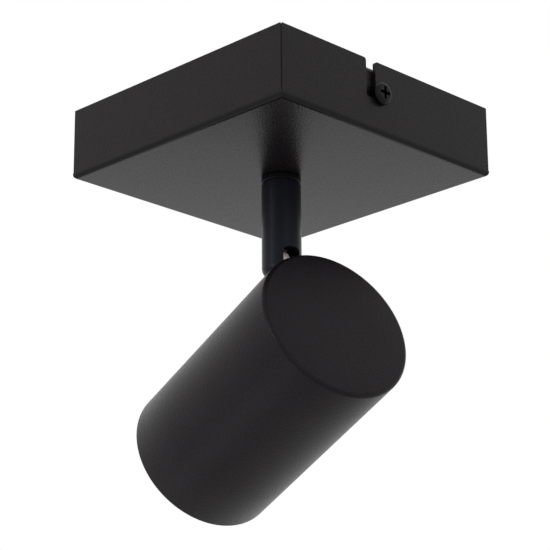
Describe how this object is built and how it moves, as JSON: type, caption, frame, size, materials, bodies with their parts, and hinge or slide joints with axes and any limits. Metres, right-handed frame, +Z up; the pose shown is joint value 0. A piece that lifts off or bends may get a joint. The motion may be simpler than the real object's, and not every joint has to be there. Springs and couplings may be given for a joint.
{
  "type": "ceiling spotlight",
  "caption": "Surface mounted ceiling spotlight: square folded canopy, short swivelling arm and a tilting cylindrical lamp head.",
  "frame": {"origin": "middle of the canopy rim, in the plane of the ceiling", "axes": "+Z up into the ceiling, +X along the mounting bracket towards a wall of the canopy with a side screw"},
  "size_m": [0.1101, 0.1, 0.1376],
  "materials": {
    "black_coat": "fine textured black powder coat",
    "zinc": "bright zinc plated steel, satin",
    "cast_zinc": "die cast zinc alloy, bare and slightly satin",
    "black_oxide": "black oxide screw",
    "brass": "bare brass",
    "polyamide": "natural polyamide",
    "slip_black": "black nylon",
    "brown_lead": "silicone insulation",
    "blue_lead": "silicone insulation",
    "earth_lead": "silicone insulation",
    "white_lead": "silicone insulation",
    "sleeve": "varnished glass braid",
    "ceramic": "unglazed steatite",
    "lamp_white": "white lamp body",
    "lamp_lens": "frosted lens",
    "nickel": "nickel plated pins"
  },
  "bodies": {
    "canopy": {"canopy_cover": "black_coat", "mounting_bracket": "black_coat", "canopy_screws": "black_oxide", "terminal_block": "polyamide", "terminal_inserts": "brass", "terminal_screws": "zinc", "terminal_fixing_screw": "zinc", "earth_tag": "zinc", "earth_screw": "zinc", "live_lead": "brown_lead", "neutral_lead": "blue_lead", "earth_lead": "earth_lead", "swivel_nipple": "black_coat", "nipple_lock_washer": "zinc", "nipple_nut": "zinc"},
    "arm": {"swivel_washer": "slip_black", "arm_tube": "black_coat", "arm_grub_screw": "black_oxide", "pivot_screw": "black_oxide", "pivot_friction_washer": "zinc", "pivot_spacer": "zinc", "arm_sleeve": "sleeve", "arm_leads": "white_lead"},
    "head": {"knuckle_lug": "cast_zinc", "saddle_washer": "black_coat", "stud_spring_washer": "zinc", "stud_nut": "zinc", "head_can": "black_coat", "lampholder_bracket": "zinc", "lampholder": "ceramic", "lampholder_screws": "zinc", "lamp_body": "lamp_white", "lamp_lens": "lamp_lens", "lamp_pins": "nickel", "head_leads": "white_lead"}
  },
  "joints": [
    {"name": "arm_swivel", "type": "hinge", "parent": "canopy", "child": "arm", "pos_m": [0, 0, -0.03], "axis": [0, 0, 1], "range_deg": [-160, 160]},
    {"name": "head_tilt", "type": "hinge", "parent": "arm", "child": "head", "pos_m": [0, 0, -0.056], "axis": [0.2045, 0.9789, 0], "range_deg": [-71.3, 18.7]}
  ]
}
